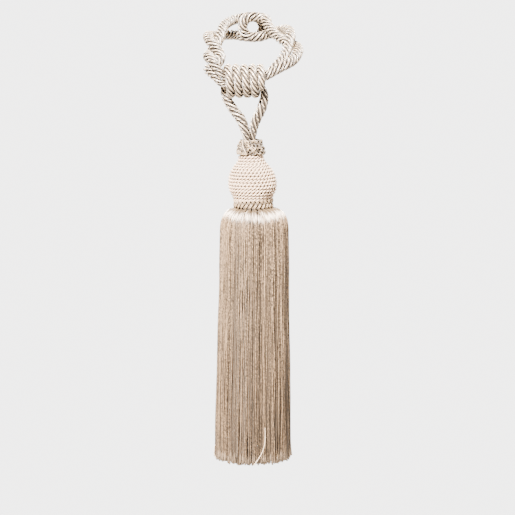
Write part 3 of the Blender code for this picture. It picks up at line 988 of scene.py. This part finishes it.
@dataclass
class Ruff:
    """Looped gimp wrapped once round the neck: rows of curled cord, an edge cord and a lapped seam.

    The seam and the edge are stops of turn from the front, in degrees, and height. A pair such as
    curl or lag holds the limits of what changes from curl to curl. The painted crease shade is counted
    from the band.
    """

    centre: Pair = (-1.5, -125.0)
    profile: Stops = (
        (8.7, -101.2), (9.3, -103.4), (10.6, -106.4), (11.4, -109.4), (11.8, -112.4), (11.5, -114.8),
    )
    rows: tuple[float, ...] = (-103.2, -106.4, -109.6, -112.7)
    loops: int = 20
    curl: Pair = (1.3, 1.75)
    turns: float = 1.36
    step_over: float = 0.30
    thread: float = 0.64
    thread_swing: Pair = (0.9, 1.1)
    sides: int = 6
    steps: int = 24
    lag: Pair = (-0.5, 0.5)
    tallness: Pair = (0.85, 1.1)
    shift: Pair = (-0.3, 0.3)
    rise: Pair = (-0.45, 0.45)
    top_margin: float = 0.2
    foot_margin: float = 0.3
    proud: float = 0.35
    roll: Pair = (0.3, 0.9)
    roll_lag: Pair = (0.0, 2.5)
    swell: Pair = (-0.55, 0.65)
    tones: Pair = (0.3, 0.9)
    seam: Stops = ((-44.0, -101.6), (-36.0, -104.5), (-25.0, -108.5), (-15.0, -112.0), (-9.0, -114.4))
    seam_turn: float = -7.0
    seam_proud: float = 1.3
    seam_width: float = 5.0
    seam_depth: float = 2.0
    edge: Stops = ((-104.0, -114.0), (-80.0, -114.1), (-50.0, -114.1), (-18.0, -114.4))
    edge_rise: float = 1.2
    edge_proud: float = 1.0
    laid_tone: float = 0.7
    shade_bed: Pair = (0.3, 2.0)
    band_inset: float = 0.9
    band_sides: int = 32
    seed: int = 21

    def place(self, degrees: Array, height: Array, proud: Array | float) -> Array:
        """Return points on the band, given by their turn from the front, height and standing.

        Args:
            degrees: Turn from the front, positive to the right.
            height: Height of each point.
            proud: How far each point stands off the band.

        Returns:
            Rows of x, y and z.
        """
        reach = read_at(self.profile, height) + proud
        turn = np.radians(degrees)
        x = self.centre[0] + reach * np.sin(turn)
        y = self.centre[1] - reach * np.cos(turn)
        return np.column_stack([x, y, height])

    def curled(self, height: float, chance: Chance) -> Array:
        """Lay a cord round the band in small curls.

        Args:
            height: The height of the row.
            chance: The source of each curl's own size and lean.

        Returns:
            The closed line of the cord.
        """
        place = np.arange(self.loops * self.steps) / self.steps
        ring, part = np.divmod(place, 1.0)
        over = np.clip((part - 1.0 + self.step_over) / self.step_over, 0.0, 1.0)
        at = ring + over * over * (3.0 - 2.0 * over)

        def drift(limits: Pair) -> Array:
            """Return a value for each point that changes from curl to curl."""
            values = chance.uniform(*limits, self.loops)
            return np.interp(at, np.arange(self.loops + 1), np.append(values, values[0]))

        whole = TAU * round(self.turns * self.loops) / self.loops
        phase = whole * place + drift(self.lag)
        size = drift(self.curl)
        wide = size * np.sin(phase)
        tall = size * drift(self.tallness) * np.cos(phase)
        degrees = (at + drift(self.shift)) * 360.0 / self.loops + chance.uniform(0.0, 360.0)
        degrees = degrees + np.degrees(wide / read_at(self.profile, height))
        level = height + tall + drift(self.rise)
        level = np.clip(level, self.profile[-1][1] + self.foot_margin, self.profile[0][1] - self.top_margin)
        proud = self.proud + drift(self.roll) * np.cos(phase - drift(self.roll_lag)) + drift(self.swell)
        away = np.remainder(degrees - read_at(self.seam, level) + 180.0, 360.0) - 180.0
        return self.place(degrees, level, proud - self.seam_depth * np.exp(-((away / self.seam_width) ** 2)))

    def build(self) -> list[Piece]:
        """Build and dress the ruff.

        Returns:
            The one piece.
        """
        chance = np.random.default_rng(self.seed)
        skein = Skein()
        lines = np.array([self.curled(height, chance) for height in self.rows])
        radii = self.thread * chance.uniform(*self.thread_swing, (len(self.rows), 1)) * np.ones(lines.shape[:2])
        cords = [(lines, radii, chance.uniform(*self.tones, len(self.rows)), True)]
        for stops, turn, rise, proud in (
            (self.seam, self.seam_turn, 0.0, self.seam_proud),
            (self.edge, 0.0, 0.0, self.edge_proud),
            (self.edge, 0.0, self.edge_rise, self.edge_proud),
        ):
            stops = smooth_rows(stops)
            line = self.place(stops[:, 0] + turn, stops[:, 1] + rise, proud)[None]
            cords.append((line, np.full(line.shape[:2], self.thread), self.laid_tone, False))
        for lines, radii, tones, looped in cords:
            reach = read_at(self.profile, lines[..., 2])
            shade_bed = ShadeBed(upright_axis(lines, self.centre), reach + self.shade_bed[0], reach + self.shade_bed[1])
            skein.threads(lines, radii, self.sides, tones, shade_bed=shade_bed, looped=looped)
        # A dark band under the curls, which shows in their holes as painted shade.
        band = np.array(self.profile) - [self.band_inset, 0.0]
        skein.turned(band, self.centre, self.band_sides, Part.SECOND)
        piece = skein.piece("looped_ruff", [GIMP_THREAD, GIMP_GROUND_SHADE])
        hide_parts("ruff")
        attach(piece, ROOT_BODY)
        return [piece]


@dataclass
class WoundHead:
    """The turned head under one long two-ply cord, wound from its base to the neck.

    The winding starts a part of a row above the base, and leaves a part of a row free in all.
    Breath is how the cord's thickness swings along it. The painted crease shade is counted from the cord's
    line.
    """

    centre: Pair = (0.3, -125.0)
    neck_shift: float = -1.7
    profile: Stops = (
        (11.8, -114.5), (12.1, -118.0), (13.5, -121.8), (16.3, -125.4), (19.0, -128.8), (21.0, -132.5),
        (22.4, -138.5), (22.5, -143.2), (21.8, -147.4), (19.9, -151.5), (18.4, -155.4), (17.7, -158.6),
    )
    profile_steps: int = 6
    row: float = 3.05
    row_start: float = 0.25
    row_spare: float = 0.5
    turn_steps: int = 140
    step: float = 0.7
    ply_pitch: float = 7.0
    ply_radius: float = 0.82
    ply_offset: float = 0.84
    ply_sides: int = 7
    ply_tones: Pair = (0.4, 0.6)
    breath: Pair = (0.92, 1.06)
    breaths: int = 160
    shade_bed: Pair = (-0.45, 1.35)
    core_inset: float = 1.25
    core_hole: float = 0.5
    core_foot: float = 8.0
    core_sides: int = 48
    seed: int = 31

    def build(self) -> list[Piece]:
        """Build and dress the head.

        Returns:
            The one piece.
        """
        profile = smooth_rows(self.profile, self.profile_steps)[::-1]
        climb = reach_along(profile)
        turns = (climb[-1] - self.row * self.row_spare) / self.row
        angles = np.linspace(0.0, TAU * turns, round(turns * self.turn_steps))
        at = self.row * (angles / TAU + self.row_start)
        cord = self.ply_radius + self.ply_offset
        reach = np.interp(at, climb, profile[:, 0]) - cord
        height = np.interp(at, climb, profile[:, 1])
        rows = np.column_stack([reach * np.cos(angles), reach * np.sin(angles), height])
        rows = evenly(rows, self.step) + np.array([*self.centre, 0.0])
        length = reach_along(rows)
        chance = np.random.default_rng(self.seed)
        stops = np.linspace(0.0, length[-1], self.breaths)
        breath = np.interp(length, stops, chance.uniform(*self.breath, self.breaths))
        away = np.linalg.norm(rows[:, :2] - np.array(self.centre), axis=1)[None]
        skein = Skein()
        for ply, tone in enumerate(self.ply_tones):
            turn = ply * math.pi + Lay.S.value * TAU * length / self.ply_pitch
            line = wound_round(rows[None], self.ply_offset * breath, turn)
            shade_bed = ShadeBed(upright_axis(line, self.centre), away + self.shade_bed[0], away + self.shade_bed[1])
            skein.threads(line, (self.ply_radius * breath)[None], self.ply_sides, tone, shade_bed=shade_bed)
        # A dark core, which shows between the rows of cord as painted shade.
        core = profile[::-1] - [cord * self.core_inset, 0.0]
        top, foot = [self.core_hole, core[0, 1]], [self.core_hole, core[-1, 1] - self.core_foot]
        skein.turned(np.vstack([top, core, foot]), self.centre, self.core_sides, Part.SECOND)
        for points in skein.points:
            high = np.clip((points[..., 2] - profile[0, 1]) / (profile[-1, 1] - profile[0, 1]), 0.0, 1.0)
            points[..., 0] += self.neck_shift * high**2
        piece = skein.piece("wound_head", [HEAD_CORD, HEAD_CORE_SHADE])
        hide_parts("head")
        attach(piece, ROOT_BODY)
        return [piece]


@dataclass
class PlaitedCollar:
    """Gimp braid round the foot of the head: a plait of paired cords.

    Wobble and bumps are each an amount and a count round the collar. The painted crease shade is
    counted from the collar's reach.
    """

    centre: Pair = (0.8, -125.0)
    reach: float = 17.2
    height: float = -159.0
    strands: int = 3
    waves: int = 9
    rise: float = 3.5
    point: float = 0.11
    weave: float = -0.85
    wobble: Pair = (0.2, 5)
    thread: float = 0.50
    pair: float = 0.50
    bumps: Pair = (0.12, 75)
    sides: int = 6
    steps: int = 324
    tones: Pair = (0.3, 0.9)
    shade_bed: Pair = (0.35, 1.5)
    band: Stops = ((16.9, -154.6), (16.5, -156.0), (16.5, -163.0), (16.0, -164.5))
    band_sides: int = 48
    seed: int = 41

    def build(self) -> list[Piece]:
        """Build and dress the collar.

        Returns:
            The one piece.
        """
        chance = np.random.default_rng(self.seed)
        skein = Skein()
        turn = np.linspace(0.0, TAU, self.steps, endpoint=False)
        for strand in range(self.strands):
            phase = turn * self.waves + TAU * strand / self.strands
            wobble = self.wobble[0] * np.sin(turn * self.wobble[1] + chance.uniform(0, TAU))
            out = self.reach + self.weave * np.sin(2 * phase)
            height = self.height + self.rise * (np.sin(phase) - self.point * np.sin(3 * phase)) + wobble
            lean = np.arctan(np.gradient(height) / (self.reach * TAU / self.steps))
            for side in (-1.0, 1.0):
                along = turn - side * self.pair * np.sin(lean) / self.reach
                x = self.centre[0] + out * np.cos(along)
                y = self.centre[1] + out * np.sin(along)
                line = np.column_stack([x, y, height + side * self.pair * np.cos(lean)])[None]
                radii = self.thread * (1.0 + self.bumps[0] * np.sin(turn * self.bumps[1] + strand + side))
                shade_bed = ShadeBed(upright_axis(line, self.centre), self.reach + self.shade_bed[0], self.reach + self.shade_bed[1])
                tone = chance.uniform(*self.tones, 1)
                skein.threads(line, radii[None], self.sides, tone, shade_bed=shade_bed, looped=True)
        # A dark band behind the plait, which shows in its gaps as painted shade.
        skein.turned(np.array(self.band), self.centre, self.band_sides, Part.SECOND)
        piece = skein.piece("plaited_collar", [BRAID_THREAD, GIMP_GROUND_SHADE])
        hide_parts("collar")
        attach(piece, ROOT_BODY)
        return [piece]


@dataclass(frozen=True)
class FringeLayer:
    """One layer of the fringe: its threads, how deep they lie, and their points and radius.

    Crowding draws the threads towards the layer's outside: at 1 they lie evenly through it.
    """

    name: str
    threads: int
    depth: Pair
    points: int
    radius: float
    crowding: float


@dataclass
class CutFringe:
    """The skirt: cut threads that spring from under the collar, turn over and hang down.

    A run is the length of thread over which something comes in or dies away. A thread wanders in
    long waves and kinks in short ones, drifts away towards the hem and flicks out at its tip. The
    painted crease shade is counted from the profile, and its upper distance grows towards the hem, so
    the threads take more painted shade lower down.
    """

    centre: Pair = (2.0, -125.0)
    lean: float = -1.8
    profile: Stops = (
        (16.8, -163.4), (19.6, -164.3), (22.8, -165.2), (26.6, -168.2), (29.3, -173.0), (30.7, -178.6),
        (31.2, -186.0), (31.7, -215.0), (32.3, -255.0), (33.4, -300.0), (34.5, -350.0), (34.9, -394.0),
    )
    hem: float = -396.0
    uneven: float = 1.5
    uneven_limits: Pair = (-4.0, 2.6)
    shorter: float = 1.0
    point_crowding: float = 1.25
    least_reach: float = 0.4
    sink_run: float = 9.0
    root_drop: float = 0.6
    root_run: float = 30.0
    place_swing: Pair = (-0.45, 0.45)
    bundle: int = 15
    gather: float = 0.8
    gather_run: float = 7.0
    wander: Pair = (0.15, 0.75)
    wander_run: float = 60.0
    wander_waves: Pair = (70, 190)
    kink: float = 0.16
    kink_run: float = 40.0
    kink_waves: Pair = (14, 26)
    drift: float = 0.9
    turning_reach: float = 6.0
    flick: float = 0.45
    flick_start: float = 0.93
    billow: float = 0.3
    billow_wave: float = 90.0
    sides: int = 4
    thickness: Pair = (0.8, 1.15)
    root_radius: float = 0.62
    root_share: float = 0.12
    tip_flare: float = 0.5
    tip_start: float = 0.985
    tone: Pair = (0.5, 0.24)
    shade_bed: Pair = (-2.2, 0.3)
    hem_shade_bed: float = 1.0
    ground_rows: int = 8
    ground_inset: Pair = (2.4, 1.6)
    ground_sides: int = 48
    loose: tuple[Stops, ...] = (
        (
            (11.4, -156.9, -361.0), (11.6, -159.6, -369.0), (10.9, -161.5, -378.0), (7.6, -162.2, -387.0),
            (1.2, -162.4, -396.5),
        ),
        ((-34.6, -131.0, -384.0), (-36.0, -131.4, -388.5), (-35.6, -131.2, -392.5), (-34.2, -131.0, -396.5)),
    )
    loose_radii: Pair = (0.17, 0.32)
    loose_steps: int = 6
    loose_sides: int = 6
    loose_tone: float = 0.8
    outer: FringeLayer = FringeLayer("fringe_outer", 400, (0.0, 1.6), 44, 0.52, 1.0)
    inner: FringeLayer = FringeLayer("fringe_inner", 1000, (1.3, 20.0), 18, 0.58, 2.4)
    seed: int = 51

    def lines(self, layer: FringeLayer, chance: Chance) -> tuple[Array, Array]:
        """Lay out one layer's threads.

        Args:
            layer: The layer.
            chance: The source of each thread's own lean, length and waviness.

        Returns:
            The threads' lines, and the direction across each.
        """
        many = layer.threads
        each = (many, 1)
        profile = smooth_rows(self.profile)
        fall = reach_along(profile)
        near, far = layer.depth
        depth = near + (far - near) * chance.uniform(0.0, 1.0, each) ** layer.crowding
        drop = np.clip(chance.normal(0.0, self.uneven, each), *self.uneven_limits) - self.shorter
        full = fall[-1] + (profile[-1, 1] - self.hem) + drop
        at = np.linspace(0.0, 1.0, layer.points)[None] ** self.point_crowding * full
        reach = np.interp(at, fall, profile[:, 0])
        height = np.interp(at, fall, profile[:, 1]) - np.maximum(at - fall[-1], 0.0)
        reach = np.maximum(reach - depth * np.minimum(1.0, at / self.sink_run), self.least_reach)
        height = height - depth * self.root_drop * np.exp(-at / self.root_run)
        place = (np.arange(many)[:, None] + chance.uniform(*self.place_swing, each)) / many
        bundles = max(1, many // self.bundle)
        centre = TAU * (np.floor(place * bundles) + 0.5) / bundles
        angle = TAU * place
        angle = angle + (centre - angle) * (self.gather * np.exp(-at / self.gather_run))

        def wave(lengths: Pair) -> Array:
            """Return a wave along each thread, with a length and a start of its own."""
            return np.sin(TAU * (at / chance.uniform(*lengths, each) + chance.uniform(0, 1, each)))

        wander = chance.uniform(*self.wander, each) * np.minimum(1.0, at / self.wander_run)
        wander = wander * wave(self.wander_waves)
        kink = self.kink * wave(self.kink_waves) * np.minimum(1.0, at / self.kink_run)
        drift = chance.normal(0.0, self.drift, each) * (at / full) ** 2
        angle = angle + (wander + kink + drift) / np.maximum(reach, self.turning_reach)
        tip = np.clip((at / full - self.flick_start) / (1.0 - self.flick_start), 0.0, 1.0)
        reach = reach + chance.normal(0.0, self.flick, each) * tip**2
        reach = reach + self.billow * np.sin(TAU * (at / self.billow_wave + chance.uniform(0, 1, each)))
        x = self.centre[0] + self.lean * at / full + reach * np.cos(angle)
        y = self.centre[1] + reach * np.sin(angle)
        around = np.stack([-np.sin(angle), np.cos(angle), np.zeros_like(angle)], axis=-1)
        return np.stack([x, y, height], axis=-1), around

    def build(self) -> list[Piece]:
        """Build and dress the skirt's two layers.

        Returns:
            The two pieces.
        """
        chance = np.random.default_rng(self.seed)
        pieces = []
        for layer in (self.outer, self.inner):
            lines, around = self.lines(layer, chance)
            along = directions(lines)
            across = unit(around - np.sum(around * along, axis=-1, keepdims=True) * along)
            share = np.linspace(0.0, 1.0, layer.points)[None]
            grow = self.root_radius + (1.0 - self.root_radius) * np.minimum(1.0, share / self.root_share)
            tip = np.clip((share - self.tip_start) / (1.0 - self.tip_start), 0.0, 1.0)
            grow = grow * (1.0 + self.tip_flare * tip)
            radii = layer.radius * chance.uniform(*self.thickness, (layer.threads, 1)) * grow
            tones = np.clip(chance.normal(*self.tone, layer.threads), 0.0, 1.0)
            axis = upright_axis(lines, self.centre)
            axis[..., 0] += self.lean * share
            ground = read_at(self.profile, lines[..., 2])
            # Threads that lie deeper take painted crease shade, and more of it towards the hem.
            shade_bed = ShadeBed(axis, ground + self.shade_bed[0], ground + self.shade_bed[1] + self.hem_shade_bed * share)
            skein = Skein()
            skein.threads(lines, radii, self.sides, tones, across=across, shade_bed=shade_bed)
            finishes = [FRINGE_THREAD]
            if layer is self.outer:
                self._front(skein)
                finishes += [STRAY_THREAD, FRINGE_GROUND_SHADE]
            piece = skein.piece(layer.name, finishes)
            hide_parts("skirt")
            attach(piece, ROOT_BODY)
            pieces.append(piece)
        return pieces

    def _front(self, skein: Skein) -> None:
        """Add the bright threads that have worked loose, and a dark ground under the shoulder as painted shade.

        Args:
            skein: The outer layer's threads.
        """
        for stops in self.loose:
            line = smooth_rows(stops, self.loose_steps)[None]
            radii = np.linspace(*self.loose_radii, line.shape[1])[None]
            skein.threads(line, radii, self.loose_sides, self.loose_tone, Part.SECOND)
        # A dark ground under the shoulder, which shows between the threads as painted shade.
        ground = np.array(self.profile[: self.ground_rows]) - self.ground_inset
        skein.turned(ground, self.centre, self.ground_sides, Part.CORE)


# ---- studio ----


class LampKind(Enum):
    """The kinds of light in the studio."""

    SUN = "SUN"
    AREA = "AREA"


@dataclass(frozen=True)
class Lamp:
    """A soft light that faces its aim from its place, both in metres.

    Width is how wide a sun looks, in degrees, or the side of a square lamp, in metres.
    """

    name: str
    kind: LampKind
    at: Place
    power: float
    width: float
    tint: Colour
    aim: Place = (0.0, 0.0, 0.0)

    def build(self) -> None:
        """Add the light to the scene."""
        data = bpy.data.lights.new(self.name, self.kind.value)
        data.energy = self.power
        data.color = self.tint
        if self.kind is LampKind.SUN:
            data.angle = math.radians(self.width)
        else:
            data.size = self.width
        lamp = shown(self.name, data)
        lamp.location = self.at
        lamp.rotation_euler = (Vector(self.aim) - Vector(self.at)).to_track_quat("-Z", "Y").to_euler()


@dataclass
class Studio:
    """Soft lights, the camera, and a floor and a sky that the camera sees in one pale tone."""

    camera_at: Place = (0.0046, -1.9513, 0.0144)
    pitch: float = 7.0
    focal_pixels: float = 2000.0
    frame_pixels: float = 515.0
    sensor: float = 36.0
    floor_below: float = 0.60
    floor_half: float = 12.0
    floor_tone: Colour = (0.19, 0.18, 0.165)
    floor_roughness: float = 0.9
    sky_tone: Colour = (1.0, 0.84, 0.70)
    sky_strength: float = 0.16
    pale: Colour = (1.0, 0.99, 0.98)
    paleness: float = 4.6
    lamps: tuple[Lamp, ...] = (
        Lamp("key", LampKind.SUN, (-0.33, -0.75, 0.80), 50.0, 6.0, (1.0, 0.90, 0.81)),
        Lamp("back_right", LampKind.SUN, (0.72, 0.64, 0.62), 14.0, 20.0, (1.0, 0.91, 0.82)),
        Lamp("back_left", LampKind.SUN, (-0.60, 0.76, 0.62), 13.0, 20.0, (1.0, 0.91, 0.82)),
        Lamp("fill", LampKind.AREA, (0.9, -1.7, 0.2), 4.0, 1.2, (1.0, 0.90, 0.82), (0.0, -0.12, -0.16)),
    )

    def camera(self) -> None:
        """Add the camera and make it the scene's own."""
        data = bpy.data.cameras.new("view")
        data.sensor_width = self.sensor
        data.lens = self.sensor * self.focal_pixels / self.frame_pixels
        camera = shown("view", data)
        camera.location = self.camera_at
        camera.rotation_euler = (math.radians(90.0 - self.pitch), 0.0, 0.0)
        bpy.context.scene.camera = camera

    def floor(self) -> None:
        """Add the floor, well under the tassel."""
        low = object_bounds()[0][2]
        half, z = self.floor_half, low - self.floor_below
        corners = [(-half, -half, z), (half, -half, z), (half, half, z), (-half, half, z)]
        mesh = bpy.data.meshes.new("floor")
        mesh.from_pydata(corners, [], [(0, 1, 2, 3)])
        material = bpy.data.materials.new("pale_floor")
        material.use_nodes = True
        wires = Wiring(material.node_tree)
        shader = material.node_tree.nodes["Principled BSDF"]
        wires.feed(shader, {"Base Color": (*self.floor_tone, 1.0), "Roughness": self.floor_roughness})
        wires.seen_pale("Material Output", shader, "Emission", self.pale, self.paleness)
        mesh.materials.append(material)
        floor = shown("floor", mesh)
        floor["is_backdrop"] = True

    def sky(self) -> None:
        """Add a soft even light from all round."""
        world = bpy.data.worlds.new("studio")
        world.use_nodes = True
        wires = Wiring(world.node_tree)
        soft = world.node_tree.nodes["Background"]
        wires.feed(soft, {"Color": (*self.sky_tone, 1.0), "Strength": self.sky_strength})
        wires.seen_pale("World Output", soft, "Background", self.pale, self.paleness)
        bpy.context.scene.world = world

    def build(self) -> None:
        """Set up the camera, the floor, the lights and the sky."""
        self.camera()
        self.floor()
        for lamp in self.lamps:
            lamp.build()
        self.sky()


def main() -> None:
    """Set up the studio, build the tieback and report each piece."""
    logging.basicConfig(level=logging.INFO, format="%(name)s: %(message)s")
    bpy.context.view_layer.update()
    Studio().build()
    for assembly in (EmbraceRopes(), HangingRope(), Ruff(), WoundHead(), PlaitedCollar(), CutFringe()):
        for piece in assembly.build():
            LOG.info("%s: %d faces", piece.name, len(piece.data.polygons))


if __name__ == "__main__":
    main()
